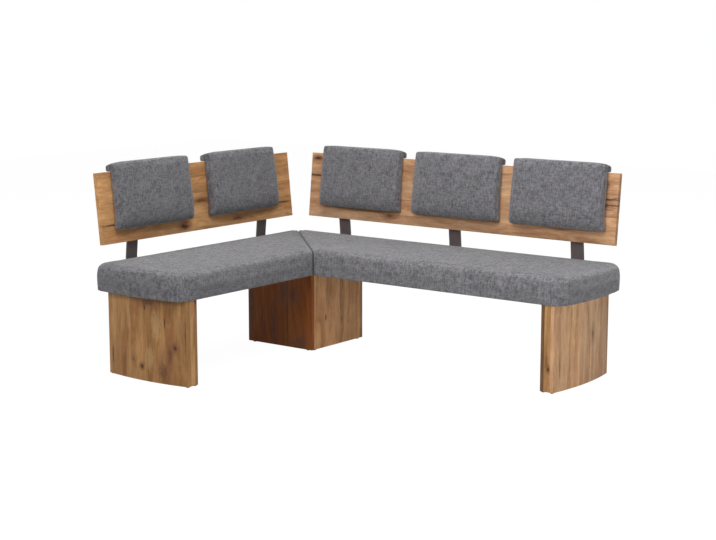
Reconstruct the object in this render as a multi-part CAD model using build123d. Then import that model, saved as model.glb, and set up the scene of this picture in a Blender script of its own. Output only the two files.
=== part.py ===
from build123d import *
import math
import os

# Corner bench: two upholstered seats meeting in a mitre, carried by two bowed end legs and a
# corner plinth, with two wooden back panels on steel brackets and five cushions hung over them.
# Millimetres, +Z up. Each wing is modelled with X along the wing from the inner corner of the
# seat, Y back from the seat's front edge; the short wing is then mirrored at the mitre.

# Seat sizes
seat_height = 484.0
seat_thickness = 119.0
seat_depth = 518.0
long_reach = 1283.0
short_reach = 855.0
seat_end_bow = 22.0
seat_front_corner = 70.0
seat_rear_corner = 40.0
seat_least_corner = 8.0
seat_edge_round = 27.0
seat_side_bulge = 6.0
seat_bulge_height = 52.0
seat_crown = 4.0
seat_crown_run = 120.0
mitre_gap = 0.6
mitre_edge_round = 9.0
fabric_thickness = 1.5
soft_clearance = 0.3
seat_board_thickness = 18.0
hem_width = 34.0

# Bowed end leg sizes
leg_set_back = 12.0
leg_width = 460.0
leg_thickness = 61.0
leg_bow = 22.0
leg_inset = 40.0
leg_skin = 16.0
leg_inner_panel = 16.0
leg_rail_depth = 24.0
leg_cross_rail = 40.0
glue_line = 0.2

# Corner plinth sizes
plinth_set_back = 52.0
plinth_rear_gap = 82.0
plinth_panel = 18.0
plinth_post = 32.0
plinth_batten = 30.0
batten_screw_inset = 96.0

# Glide sizes
glide_diameter = 15.0
glide_height = 4.0
glide_inset = 10.0

# Back panel sizes
panel_thickness = 22.0
panel_height = 309.0
panel_lean = 6.0
panel_set_back = 490.0
panel_bottom = 556.5
panel_edge_round = 1.2
long_panel_end_inset = 29.0
short_panel_end_inset = 38.0
long_panel_corner_gap = 68.0
short_panel_corner_gap = 42.0

# Back bracket sizes
bracket_width = 62.0
bracket_thickness = 8.0
bracket_clearance = 0.6
bracket_plinth_gap = 16.0
bracket_rise = 128.0
bracket_bend = 5.0
bracket_inner_inset = 203.0
bracket_outer_inset = 195.0
bracket_screw_low = 42.0
bracket_screw_pitch = 58.0
foot_screw_pitch = 34.0

# Joining hardware sizes
angle_leg = 40.0
angle_length = 50.0
angle_thickness = 3.0
angle_inset = 110.0
plate_length = 110.0
plate_width = 40.0
plate_thickness = 3.0
plate_batten_gap = 7.0
plate_screw_pitch_x = 70.0
plate_screw_pitch_y = 20.0
screw_head = 9.0
screw_head_height = 2.6
screw_shank = 4.4
screw_bite = 14.0
screw_clearance = 0.05

# Cushion sizes
cushion_width = 460.0
cushion_low = 58.0
cushion_rise = 39.0
cushion_thickness = 49.0
cushion_corner = 22.0
cushion_draw_in = 3.0
cushion_profile = (
    (0.00, 4.0),
    (0.18, 0.6),
    (0.49, 0.0),
    (0.67, 2.0),
    (0.80, 6.0),
    (0.89, 14.0),
    (0.95, 32.0),
    (1.00, 64.0),
)
fold_height = 33.0
fold_inset = 5.0
fold_round = 12.0
flap_thickness = 5.0
flap_inset = 44.0
flap_drop = 108.0
long_cushion_margin = 90.0
long_cushion_gaps = (84.0, 70.0)
short_cushion_margin = 138.0
short_cushion_gap = 132.0

seat_bottom = seat_height - seat_thickness
leg_height = seat_bottom - glide_height
plinth_width = seat_depth - plinth_set_back - plinth_rear_gap
bracket_foot = plinth_rear_gap - bracket_plinth_gap
parts = {}
mitre_mirror = Plane(origin=(0, 0, 0), x_dir=(0, 0, 1), z_dir=(1, 1, 0))


def add(node, shape):
    """Keep a finished piece under its node name."""
    parts[node] = shape


def on_wing(wing, shape):
    """Place a piece modelled on the long wing's axes on the named wing."""
    return shape if wing == "long" else mirror(shape, about=mitre_mirror)


def block(x0, x1, y0, y1, z0, z1):
    """Rectangular solid between two corners."""
    centre = Pos((x0 + x1) / 2, (y0 + y1) / 2, (z0 + z1) / 2)
    return centre * Box(x1 - x0, y1 - y0, z1 - z0)


def group(solids):
    """Several separate solids kept together."""
    return Compound(children=[solid for solid in solids])


def screw(place, grip):
    """Pan head screw: the head stands at the origin of place, the shank runs along +Z."""
    head = Pos(0, 0, -screw_head_height / 2) * Cylinder(screw_head / 2, screw_head_height)
    length = grip + screw_bite
    shank = Pos(0, 0, length / 2) * Cylinder(screw_shank / 2, length)
    return place * (head + shank)


def screw_hole(place, grip):
    """Hole for the shank of a screw, its clearance all round and at the tip."""
    length = grip + screw_bite + screw_clearance
    return place * Pos(0, 0, length / 2) * Cylinder(screw_shank / 2 + screw_clearance, length)


def drill(node, places, grip):
    """Cut the holes of some screws out of a finished piece."""
    for place in places:
        parts[node] = parts[node] - screw_hole(place, grip)


# Upholstered seats
def seat_outline(reach, inset, mitre_inset, height):
    """Plan of one seat: straight front and rear, bowed end with round corners, mitred inner end."""
    mitre_shift = (mitre_gap / 2 + mitre_inset) * math.sqrt(2)
    front = inset
    rear = seat_depth - inset
    end = reach - inset
    inner_front = (mitre_shift - front, front)
    inner_rear = (mitre_shift - rear, rear)
    front_line = Line(inner_front, (end, front))
    bow = ThreePointArc((end, front), (end + seat_end_bow, (front + rear) / 2), (end, rear))
    rear_line = Line((end, rear), inner_rear)
    mitre_line = Line(inner_rear, inner_front)
    face = make_face([front_line, bow, rear_line, mitre_line])
    corners = face.vertices().sort_by(Axis.X)[-2:].sort_by(Axis.Y)
    face = fillet(corners[0], max(seat_front_corner - inset, seat_least_corner))
    corners = face.vertices().filter_by(lambda v: abs(v.Y - rear) < 1e-3).sort_by(Axis.X)
    face = fillet(corners[-1], max(seat_rear_corner - inset, seat_least_corner))
    return Pos(0, 0, height) * face.face()


def seat_form(reach, skin):
    """Crowned seat with bulged sides and rounded top edges, drawn in by the skin on every side."""
    low = seat_bottom + skin
    shoulder = seat_height - seat_crown - seat_edge_round
    mitre_shoulder = seat_edge_round - mitre_edge_round
    levels = [
        (low, seat_side_bulge, 0.0),
        (seat_bottom + seat_bulge_height, 0.0, 0.0),
        (shoulder, seat_side_bulge / 3, 0.0),
    ]
    for degrees in (25, 45, 65, 90):
        angle = math.radians(degrees)
        rise = seat_edge_round * math.sin(angle)
        inward = seat_side_bulge / 3 + seat_edge_round * (1 - math.cos(angle))
        over_mitre = max(rise - mitre_shoulder, 0.0) / mitre_edge_round
        mitre_in = mitre_edge_round * (1 - math.sqrt(1 - min(over_mitre, 1.0) ** 2))
        levels.append((shoulder + rise - skin, inward, mitre_in))
    crown_inset = seat_side_bulge / 3 + seat_edge_round
    levels.append((seat_height - skin, crown_inset + seat_crown_run, mitre_edge_round))
    faces = [seat_outline(reach, inset + skin, mitre + skin, z) for z, inset, mitre in levels]
    return loft(faces, ruled=True)


def make_seat(wing, reach):
    """Seat board, foam, cover with its hem turned under the board, and the lining below."""
    board_low = seat_bottom + fabric_thickness
    board_high = board_low + seat_board_thickness
    side = seat_side_bulge + fabric_thickness + soft_clearance
    mitre_side = fabric_thickness + soft_clearance
    board = extrude(seat_outline(reach, side, mitre_side, board_low), seat_board_thickness)
    inside = seat_form(reach, fabric_thickness + soft_clearance)
    above_board = extrude(seat_outline(reach, 0, 0, board_high), seat_thickness)
    foam = inside & above_board
    hem_inset = seat_side_bulge + hem_width
    mouth = extrude(seat_outline(reach, hem_inset, hem_width, seat_bottom), fabric_thickness)
    cover = seat_form(reach, 0.0) - seat_form(reach, fabric_thickness) - mouth
    lining_inset = hem_inset + soft_clearance
    lining_mitre = hem_width + soft_clearance
    lining_face = seat_outline(reach, lining_inset, lining_mitre, seat_bottom)
    lining = extrude(lining_face, fabric_thickness)
    add(f"seat_board_{wing}", on_wing(wing, board))
    add(f"seat_foam_{wing}", on_wing(wing, foam))
    add(f"seat_cover_{wing}", on_wing(wing, cover))
    add(f"seat_lining_{wing}", on_wing(wing, lining))


# Bowed end legs
def bow_region(outer_corner, drawn_in):
    """Plan between the leg's inner side and its bowed face, the bow drawn in by a skin."""
    front = leg_set_back
    rear = leg_set_back + leg_width
    radius = ((leg_width / 2) ** 2 + leg_bow ** 2) / (2 * leg_bow)
    centre = (outer_corner + leg_bow - radius, (front + rear) / 2)
    disc = Pos(*centre) * Circle(radius - drawn_in)
    strip = Pos(outer_corner - leg_thickness / 2 + leg_bow / 2, (front + rear) / 2)
    return disc & (strip * Rectangle(leg_thickness + leg_bow, leg_width))


def make_leg(wing, reach):
    """Bent outer skin, flat inner panel, two edge rails and two cross rails glued between them."""
    outer = reach - leg_inset
    inner = outer - leg_thickness
    front = leg_set_back
    rear = leg_set_back + leg_width
    foot = Pos(0, 0, glide_height)
    whole = foot * extrude(bow_region(outer, 0.0), leg_height)
    inside = foot * extrude(bow_region(outer, leg_skin), leg_height)
    core_plan = bow_region(outer, leg_skin + glue_line)
    core = foot * extrude(core_plan, leg_height)
    panel_face = inner + leg_inner_panel
    reach_past = outer + leg_bow
    top = seat_bottom
    low = glide_height
    front_rail = core & block(panel_face, reach_past, front, front + leg_rail_depth, low, top)
    rear_rail = core & block(panel_face, reach_past, rear - leg_rail_depth, rear, low, top)
    between = (front + leg_rail_depth, rear - leg_rail_depth)
    top_rail = core & block(panel_face, reach_past, *between, top - leg_cross_rail, top)
    low_rail = core & block(panel_face, reach_past, *between, low, low + leg_cross_rail)
    add(f"leg_skin_{wing}", on_wing(wing, whole - inside))
    add(f"leg_inner_panel_{wing}", on_wing(wing, block(inner, panel_face, front, rear, low, top)))
    add(f"leg_front_rail_{wing}", on_wing(wing, front_rail))
    add(f"leg_rear_rail_{wing}", on_wing(wing, rear_rail))
    add(f"leg_cross_rails_{wing}", on_wing(wing, group([top_rail, low_rail])))
    spots = [
        (x, y)
        for x in (inner + glide_inset, outer - glide_inset)
        for y in (front + glide_inset, rear - glide_inset)
    ]
    add(f"leg_glides_{wing}", on_wing(wing, group([glide(x, y) for x, y in spots])))


def glide(x, y):
    """Round glide with a bevelled foot."""
    disc = Pos(x, y, glide_height / 2) * Cylinder(glide_diameter / 2, glide_height)
    foot_edge = disc.edges().sort_by(Axis.Z)[0]
    return chamfer(foot_edge, glide_height / 4)


# Corner plinth
def make_plinth():
    """Four panels butted into a square box, with corner posts, top battens and glides."""
    x1 = -plinth_set_back
    x0 = x1 - plinth_width
    y0 = plinth_set_back
    y1 = y0 + plinth_width
    low = glide_height
    top = seat_bottom
    t = plinth_panel
    add("plinth_front_panel", block(x0, x1, y0, y0 + t, low, top))
    add("plinth_rear_panel", block(x0, x1, y1 - t, y1, low, top))
    add("plinth_side_panel", block(x1 - t, x1, y0 + t, y1 - t, low, top))
    add("plinth_outer_panel", block(x0, x0 + t, y0 + t, y1 - t, low, top))
    in_x = (x0 + t, x1 - t)
    in_y = (y0 + t, y1 - t)
    post_top = top - plinth_batten
    posts = []
    for x_side in ((in_x[0], in_x[0] + plinth_post), (in_x[1] - plinth_post, in_x[1])):
        for y_side in ((in_y[0], in_y[0] + plinth_post), (in_y[1] - plinth_post, in_y[1])):
            posts.append(block(*x_side, *y_side, low, post_top))
    add("plinth_corner_posts", group(posts))
    outer_batten = block(in_x[0], in_x[0] + plinth_batten, *in_y, post_top, top)
    side_batten = block(in_x[1] - plinth_batten, in_x[1], *in_y, post_top, top)
    add("plinth_top_battens", group([outer_batten, side_batten]))
    near = glide_inset
    far = 3 * glide_inset
    spots = []
    for x, x_step in ((x0, 1), (x1, -1)):
        for y, y_step in ((y0, 1), (y1, -1)):
            spots.append((x + near * x_step, y + far * y_step))
            spots.append((x + far * x_step, y + near * y_step))
    add("plinth_glides", group([glide(x, y) for x, y in spots]))
    side_x = in_x[1] - plinth_batten / 2
    outer_x = in_x[0] + plinth_batten / 2
    grip = plinth_batten + fabric_thickness
    ends = (in_y[0] + batten_screw_inset, in_y[1] - batten_screw_inset)
    side_places = [Pos(side_x, y, post_top) for y in ends]
    outer_places = [Pos(outer_x, y, post_top) for y in ends]
    drill("plinth_top_battens", side_places + outer_places, grip)
    for node in ("seat_board_long", "seat_lining_long"):
        drill(node, side_places, grip)
    for node in ("seat_board_short", "seat_lining_short"):
        drill(node, outer_places, grip)
    add("batten_screws", group([screw(place, grip) for place in side_places + outer_places]))


# Hidden joining hardware
def make_leg_angles():
    """Steel angles in the corner between each leg's inner panel and the seat board."""
    angles = []
    screws = []
    for wing, reach in (("long", long_reach), ("short", short_reach)):
        face = reach - leg_inset - leg_thickness
        up_places = []
        side_places = []
        centres = (leg_set_back + angle_inset, leg_set_back + leg_width - angle_inset)
        for y in centres:
            span = (y - angle_length / 2, y + angle_length / 2)
            plate_low = seat_bottom - angle_thickness
            flat = block(face - angle_leg, face, *span, plate_low, seat_bottom)
            upright = block(face - angle_thickness, face, *span, seat_bottom - angle_leg, plate_low)
            up = Pos(face - angle_leg / 2, y, plate_low)
            side = Pos(face - angle_thickness, y, seat_bottom - angle_leg / 2) * Rot(0, 90, 0)
            grip = angle_thickness + fabric_thickness
            angle = flat + upright
            angle = angle - screw_hole(up, grip) - screw_hole(side, angle_thickness)
            angles.append(on_wing(wing, angle))
            pair = group([screw(up, grip), screw(side, angle_thickness)])
            screws.extend(on_wing(wing, pair).solids())
            up_places.append(screw_hole(up, grip))
            side_places.append(screw_hole(side, angle_thickness))
        for hole in up_places:
            for node in (f"seat_board_{wing}", f"seat_lining_{wing}"):
                parts[node] = parts[node] - on_wing(wing, hole)
        for hole in side_places:
            node = f"leg_inner_panel_{wing}"
            parts[node] = parts[node] - on_wing(wing, hole)
    add("leg_angles", group(angles))
    add("angle_screws", group(screws))


def make_mitre_plates():
    """Flat steel plates under the seam, screwed to both seat boards."""
    plates = []
    screws = []
    grip = plate_thickness + fabric_thickness
    under = seat_bottom - plate_thickness
    diagonal = 2 ** 0.5
    half = (plate_length + plate_width) / 2
    kept_off = plinth_panel + plinth_batten + plate_batten_gap
    first = (plinth_set_back + kept_off) * diagonal + half
    last = (plinth_set_back + plinth_width - kept_off) * diagonal - half
    for along in (first, last):
        across = Rot(0, 0, 135) * Pos(along, 0, 0)
        centre = across * Pos(0, 0, under + plate_thickness / 2)
        plate = centre * Box(plate_width, plate_length, plate_thickness)
        for side, wing in ((-1, "long"), (1, "short")):
            for step in (-1, 1):
                x = step * plate_screw_pitch_y / 2
                y = side * plate_screw_pitch_x / 2
                place = across * Pos(x, y, under)
                plate = plate - screw_hole(place, grip)
                screws.append(screw(place, grip))
                for node in (f"seat_board_{wing}", f"seat_lining_{wing}", f"seat_cover_{wing}"):
                    drill(node, [place], grip)
        plates.append(plate)
    add("mitre_plates", group(plates))
    add("mitre_plate_screws", group(screws))


# Back panels, brackets and cushions
def on_panel(shape):
    """Lean a piece back that is modelled with the panel's front face upright on Y = 0, Z = 0."""
    return Pos(0, panel_set_back, panel_bottom) * Rot(-panel_lean, 0, 0) * shape


def offset_line(points, distance):
    """Points of a line beside the given one, to its right, with mitred corners."""
    directions = []
    for start, stop in zip(points, points[1:]):
        step = Vector(*stop) - Vector(*start)
        directions.append(step.normalized())
    shifted = []
    for index, point in enumerate(points):
        before = directions[max(index - 1, 0)]
        after = directions[min(index, len(directions) - 1)]
        normal = Vector(before.Y + after.Y, -before.X - after.X).normalized()
        spread = normal.dot(Vector(after.Y, -after.X))
        corner = Vector(*point) + normal * (distance / spread)
        shifted.append((corner.X, corner.Y))
    return shifted


def bracket_line():
    """Front face of a bracket, seen from the side: foot, upright, lean to the panel, panel leg."""
    lean = math.radians(panel_lean)
    rear = seat_depth + bracket_clearance
    panel_y = panel_set_back + panel_thickness * math.cos(lean)
    panel_z = panel_bottom - panel_thickness * math.sin(lean)
    end_y = panel_y + bracket_rise * math.sin(lean)
    end_z = panel_z + bracket_rise * math.cos(lean)
    foot = (rear - bracket_foot, seat_bottom)
    return [foot, (rear, seat_bottom), (rear, seat_height), (panel_y, panel_z), (end_y, end_z)]


def make_bracket(wing, node, along):
    """Flat steel bar bent under the seat, up behind it and along the back of the panel."""
    line = bracket_line()
    beside = offset_line(line, bracket_thickness)
    profile = make_face(Polyline(*line, *reversed(beside), close=True))
    inner_bend = profile.vertices().sort_by_distance((*line[1], 0))[0]
    profile = fillet(inner_bend, bracket_bend)
    outer_bend = profile.vertices().sort_by_distance((*beside[1], 0))[0]
    profile = fillet(outer_bend, bracket_bend + bracket_thickness)
    side_plane = Plane(origin=(along - bracket_width / 2, 0, 0), x_dir=(0, 1, 0), z_dir=(1, 0, 0))
    bar = extrude(side_plane * profile, bracket_width)
    foot_y = (line[0][0] + line[1][0]) / 2
    foot_places = []
    for step in (-1, 1):
        foot_places.append(Pos(along + step * foot_screw_pitch / 2, foot_y, beside[0][1]))
    panel_places = []
    for height in (bracket_screw_low, bracket_screw_low + bracket_screw_pitch):
        behind = Pos(along, panel_thickness + bracket_thickness, height) * Rot(90, 0, 0)
        panel_places.append(on_panel(behind))
    foot_grip = bracket_thickness + fabric_thickness
    foot_screws = [screw(place, foot_grip) for place in foot_places]
    panel_screws = [screw(place, bracket_thickness) for place in panel_places]
    foot_holes = [screw_hole(place, foot_grip) for place in foot_places]
    panel_holes = [screw_hole(place, bracket_thickness) for place in panel_places]
    for hole in foot_holes + panel_holes:
        bar = bar - hole
    add(node, on_wing(wing, bar))
    for hole in foot_holes:
        for name in (f"seat_board_{wing}", f"seat_lining_{wing}", f"seat_cover_{wing}"):
            parts[name] = parts[name] - on_wing(wing, hole)
    for hole in panel_holes:
        name = f"back_panel_{wing}"
        parts[name] = parts[name] - on_wing(wing, hole)
    turned_foot = [on_wing(wing, piece) for piece in foot_screws]
    turned_panel = [on_wing(wing, piece) for piece in panel_screws]
    return turned_foot, turned_panel


def soft_outline(width, low, high, inset, distance):
    """Outline of a soft pad with drawn-in sides and round corners, in a plane before the panel."""
    half = width / 2 - inset
    bottom = low + inset
    top = high - inset
    middle = (bottom + top) / 2
    draw = cushion_draw_in
    below = ThreePointArc((-half, bottom), (0, bottom + draw), (half, bottom))
    right = ThreePointArc((half, bottom), (half - draw, middle), (half, top))
    above = ThreePointArc((half, top), (0, top - draw), (-half, top))
    left = ThreePointArc((-half, top), (-half + draw, middle), (-half, bottom))
    face = make_face([below, right, above, left])
    face = fillet(face.vertices(), cushion_corner)
    return Plane.XZ.offset(distance) * face.face()


def soft_pad(low, high):
    """Crowned pad that swells forward from its flat resting face to the full thickness."""
    faces = []
    for share, inset in cushion_profile:
        distance = soft_clearance + share * cushion_thickness
        faces.append(soft_outline(cushion_width, low, high, inset, distance))
    return loft(faces, ruled=True)


def make_cushion(wing, node, along):
    """Saddle cushion: front pad, fold lying on the panel's top edge and flap hanging behind."""
    place = Pos(along, 0, 0)
    pad = soft_pad(cushion_low, panel_height + cushion_rise)
    fold_half = cushion_width / 2 - fold_inset
    fold_low = panel_height + soft_clearance
    flap_half = cushion_width / 2 - flap_inset
    flap_front = panel_thickness + soft_clearance
    flap_rear = flap_front + flap_thickness
    fold = block(-fold_half, fold_half, 0, flap_rear, fold_low, panel_height + fold_height)
    top_edges = fold.edges().filter_by(Axis.X).sort_by(Axis.Z)[-2:]
    fold = fillet(top_edges.sort_by(Axis.Y)[-1], fold_round)
    flap_low = panel_height - flap_drop
    flap = block(-flap_half, flap_half, flap_front, flap_rear, flap_low, panel_height)
    flap_corners = flap.edges().filter_by(Axis.Y).sort_by(Axis.Z)[:2]
    flap = fillet(flap_corners, cushion_corner)
    add(f"{node}_pad", on_wing(wing, on_panel(place * pad)))
    add(f"{node}_fold", on_wing(wing, on_panel(place * fold)))
    add(f"{node}_flap", on_wing(wing, on_panel(place * flap)))


def make_back(wing, inner_end, outer_end, bracket_places, cushion_starts):
    """One wing's panel with its brackets, their screws and its cushions."""
    board = block(inner_end, outer_end, 0, panel_thickness, 0, panel_height)
    board = fillet(board.edges(), panel_edge_round)
    add(f"back_panel_{wing}", on_wing(wing, on_panel(board)))
    foot_screws = []
    panel_screws = []
    for number, along in enumerate(bracket_places, 1):
        feet, backs = make_bracket(wing, f"bracket_{wing}_{number}", along)
        foot_screws.extend(feet)
        panel_screws.extend(backs)
    for number, start in enumerate(cushion_starts, 1):
        make_cushion(wing, f"cushion_{wing}_{number}", start + cushion_width / 2)
    return foot_screws, panel_screws


def make_backs():
    """Both backs; the screws of all five brackets are kept as two groups."""
    long_inner = long_panel_corner_gap - panel_set_back
    short_inner = short_panel_corner_gap - panel_set_back
    long_outer = long_reach - long_panel_end_inset
    short_outer = short_reach - short_panel_end_inset
    long_first = long_inner + bracket_inner_inset
    long_last = long_outer - bracket_outer_inset
    long_places = [long_first, (long_first + long_last) / 2, long_last]
    short_places = [short_inner + bracket_inner_inset, short_outer - bracket_outer_inset]
    long_starts = [long_inner + long_cushion_margin]
    for gap in long_cushion_gaps:
        long_starts.append(long_starts[-1] + cushion_width + gap)
    short_starts = [short_inner + short_cushion_margin]
    short_starts.append(short_starts[0] + cushion_width + short_cushion_gap)
    long_screws = make_back("long", long_inner, long_outer, long_places, long_starts)
    short_screws = make_back("short", short_inner, short_outer, short_places, short_starts)
    add("bracket_foot_screws", group(long_screws[0] + short_screws[0]))
    add("panel_screws", group(long_screws[1] + short_screws[1]))


make_seat("long", long_reach)
make_seat("short", short_reach)
make_leg("long", long_reach)
make_leg("short", short_reach)
make_plinth()
make_leg_angles()
make_mitre_plates()
make_backs()

# The origin is on the floor, under the middle of the whole bench
boxes = [shape.bounding_box() for shape in parts.values()]
middle_x = (min(box.min.X for box in boxes) + max(box.max.X for box in boxes)) / 2
middle_y = (min(box.min.Y for box in boxes) + max(box.max.Y for box in boxes)) / 2
os.makedirs("parts", exist_ok=True)
for node, shape in parts.items():
    export_step(Pos(-middle_x, -middle_y, 0) * shape, f"parts/{node}.step")
print(f"{len(parts)} nodes, moved by {-middle_x:.3f}, {-middle_y:.3f}")
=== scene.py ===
import math

import bmesh
import bpy
import numpy as np
from mathutils import Matrix, Vector
from mathutils.bvhtree import BVHTree


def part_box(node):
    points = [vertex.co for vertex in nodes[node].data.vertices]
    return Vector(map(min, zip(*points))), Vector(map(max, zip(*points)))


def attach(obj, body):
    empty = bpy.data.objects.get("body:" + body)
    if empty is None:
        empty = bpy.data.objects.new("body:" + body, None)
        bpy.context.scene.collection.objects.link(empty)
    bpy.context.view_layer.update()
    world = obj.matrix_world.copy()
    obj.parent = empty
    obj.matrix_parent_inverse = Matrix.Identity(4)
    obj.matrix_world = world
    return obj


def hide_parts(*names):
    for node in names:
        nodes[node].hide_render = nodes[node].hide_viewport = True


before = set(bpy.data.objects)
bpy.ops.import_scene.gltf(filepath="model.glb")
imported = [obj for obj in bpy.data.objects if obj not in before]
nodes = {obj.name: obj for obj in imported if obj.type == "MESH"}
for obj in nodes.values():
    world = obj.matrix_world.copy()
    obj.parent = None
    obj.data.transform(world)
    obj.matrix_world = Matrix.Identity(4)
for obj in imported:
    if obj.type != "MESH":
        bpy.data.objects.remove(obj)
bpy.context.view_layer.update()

# Glides: small round feet of dark moulded plastic, nailed under the legs and the plinth.
# They keep the wood four millimetres off the floor and are scuffed where they slide.
def place(tree, kind, inputs=None, **settings):
    """Adds a node, sets its options, and sets or links its inputs by name or number."""
    made = tree.nodes.new("ShaderNode" + kind)
    for key, value in settings.items():
        setattr(made, key, value)
    for key, value in (inputs or {}).items():
        if isinstance(value, bpy.types.NodeSocket):
            tree.links.new(value, made.inputs[key])
        else:
            made.inputs[key].default_value = value
    return made


def calc(tree, operation, first, second=0.0, third=0.0):
    """Output of one Math node."""
    return place(tree, "Math", {0: first, 1: second, 2: third}, operation=operation).outputs[0]


def fade(tree, value, start, stop, low=0.0, high=1.0):
    """Smooth step from low to high while the value goes from start to stop."""
    sockets = {"Value": value, "From Min": start, "From Max": stop, "To Min": low, "To Max": high}
    return place(tree, "MapRange", sockets, interpolation_type="SMOOTHSTEP").outputs[0]


def stretch(tree, vector, scale, shift=(0.0, 0.0, 0.0)):
    """Vector times a scale per axis, plus a shift."""
    sockets = {0: vector, 1: scale, 2: shift}
    return place(tree, "VectorMath", sockets, operation="MULTIPLY_ADD").outputs[0]


def cloud(tree, vector, detail=2.0, roughness=0.5):
    """Fractal noise, from 0 to 1, at unit scale."""
    sockets = {"Vector": vector, "Scale": 1.0, "Detail": detail, "Roughness": roughness}
    return place(tree, "TexNoise", sockets).outputs["Fac"]


def blend_colour(tree, share, first, second, blend_type="MIX"):
    """Mix of two colours."""
    made = place(tree, "Mix", data_type="RGBA", blend_type=blend_type)
    for key, value in ((0, share), (6, first), (7, second)):
        if isinstance(value, bpy.types.NodeSocket):
            tree.links.new(value, made.inputs[key])
        else:
            made.inputs[key].default_value = value
    return made.outputs[2]


def new_group(name, sockets_in, sockets_out):
    """Empty shader node group with the given sockets."""
    tree = bpy.data.node_groups.new(name, "ShaderNodeTree")
    for label, kind in sockets_in:
        tree.interface.new_socket(label, in_out="INPUT", socket_type="NodeSocket" + kind)
    for label, kind in sockets_out:
        tree.interface.new_socket(label, in_out="OUTPUT", socket_type="NodeSocket" + kind)
    return tree, tree.nodes.new("NodeGroupInput").outputs, tree.nodes.new("NodeGroupOutput").inputs


def new_material(name):
    """Material with an empty Principled shader: its tree, the shader and object coordinates."""
    made = bpy.data.materials.new(name)
    made.use_nodes = True
    tree = made.node_tree
    shader = tree.nodes["Principled BSDF"]
    where = place(tree, "TexCoord").outputs["Object"]
    return made, tree, shader, where


def use_group(tree, group, inputs):
    """Group node with its inputs set or linked."""
    made = tree.nodes.new("ShaderNodeGroup")
    made.node_tree = group
    for key, value in inputs.items():
        if isinstance(value, bpy.types.NodeSocket):
            tree.links.new(value, made.inputs[key])
        else:
            made.inputs[key].default_value = value
    return made.outputs


def raise_bump(tree, shader, height, depth, strength=1.0):
    """Feeds a height into the shader's normal."""
    sockets = {"Height": height, "Distance": depth, "Strength": strength}
    bump = place(tree, "Bump", sockets)
    tree.links.new(bump.outputs["Normal"], shader.inputs["Normal"])


def dress(names, material):
    """Gives CAD nodes their finish."""
    for name in names:
        nodes[name].data.materials.clear()
        nodes[name].data.materials.append(material)


glide_plastic, tree, shader, where = new_material("glide_plastic")
speckle = cloud(tree, stretch(tree, where, (900.0, 900.0, 900.0)), 3.0)
scuff = fade(tree, cloud(tree, stretch(tree, where, (160.0, 160.0, 40.0)), 4.0), 0.5, 0.75)
moulded = blend_colour(tree, speckle, (0.035, 0.03, 0.027, 1), (0.06, 0.053, 0.048, 1))
scuffed = blend_colour(tree, scuff, moulded, (0.11, 0.1, 0.09, 1))
tree.links.new(scuffed, shader.inputs["Base Color"])
tree.links.new(fade(tree, speckle, 0.2, 0.8, 0.5, 0.7), shader.inputs["Roughness"])
raise_bump(tree, shader, speckle, 0.0002)
dress(("leg_glides_long", "leg_glides_short", "plinth_glides"), glide_plastic)

# Corner plinth: a square box of rustic oak boards standing under the seam of the two seats.
# The front board runs right to the corner, so its sawn edge shows as a lighter upright strip.
oak_group, given, result = new_group(
    "rustic_oak",
    (("Vector", "Vector"), ("Seed", "Float"), ("Tint", "Color"), ("Rustic", "Float")),
    (("Color", "Color"), ("Roughness", "Float"), ("Height", "Float")),
)
tree = oak_group
seed_step = place(tree, "CombineXYZ", {
    0: calc(tree, "MULTIPLY", given["Seed"], 3.71),
    1: calc(tree, "MULTIPLY", given["Seed"], 1.93),
    2: calc(tree, "MULTIPLY", given["Seed"], 2.57),
}).outputs[0]
spot = place(tree, "VectorMath", {0: given["Vector"], 1: seed_step}, operation="ADD").outputs[0]
axes = place(tree, "SeparateXYZ", {0: spot}).outputs
# Boards of uneven width, each cut from another stretch of the log
sway = calc(tree, "MULTIPLY", calc(tree, "SINE", calc(tree, "MULTIPLY", axes[1], 29.0)), 0.22)
board_place = calc(tree, "ADD", calc(tree, "DIVIDE", axes[1], 0.118), sway)
board = calc(tree, "FLOOR", board_place)
board_edge = calc(tree, "FRACT", board_place)
board_luck = place(tree, "TexWhiteNoise", {"W": board}, noise_dimensions="1D").outputs
along = calc(tree, "ADD", axes[0], calc(tree, "MULTIPLY", board_luck["Value"], 5.0))
cut = place(tree, "CombineXYZ", {0: along, 1: axes[1], 2: axes[2]}).outputs[0]
# Knots: scattered ellipses that push the grain aside
knot_spot = stretch(tree, cut, (5.2, 8.6, 0.0))
knot_sway = cloud(tree, stretch(tree, cut, (22.0, 40.0, 40.0)), 2.0)
knot_sockets = {"Vector": knot_spot, "Scale": 1.0}
knot_cells = place(tree, "TexVoronoi", knot_sockets, voronoi_dimensions="2D").outputs
knot_luck = place(tree, "SeparateColor", {0: knot_cells["Color"]}).outputs[0]
knot_here = calc(tree, "MULTIPLY", calc(tree, "GREATER_THAN", knot_luck, 0.74), given["Rustic"])
knot_wobble = calc(tree, "MULTIPLY", calc(tree, "SUBTRACT", knot_sway, 0.5), 0.10)
knot_far = calc(tree, "ADD", knot_cells["Distance"], knot_wobble)
knot_core = calc(tree, "MULTIPLY", fade(tree, knot_far, 0.10, 0.035), knot_here)
knot_ring = calc(tree, "MULTIPLY", fade(tree, knot_far, 0.26, 0.08), knot_here)
knot_push = calc(tree, "MULTIPLY", fade(tree, knot_far, 0.55, 0.0), knot_here)
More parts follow.
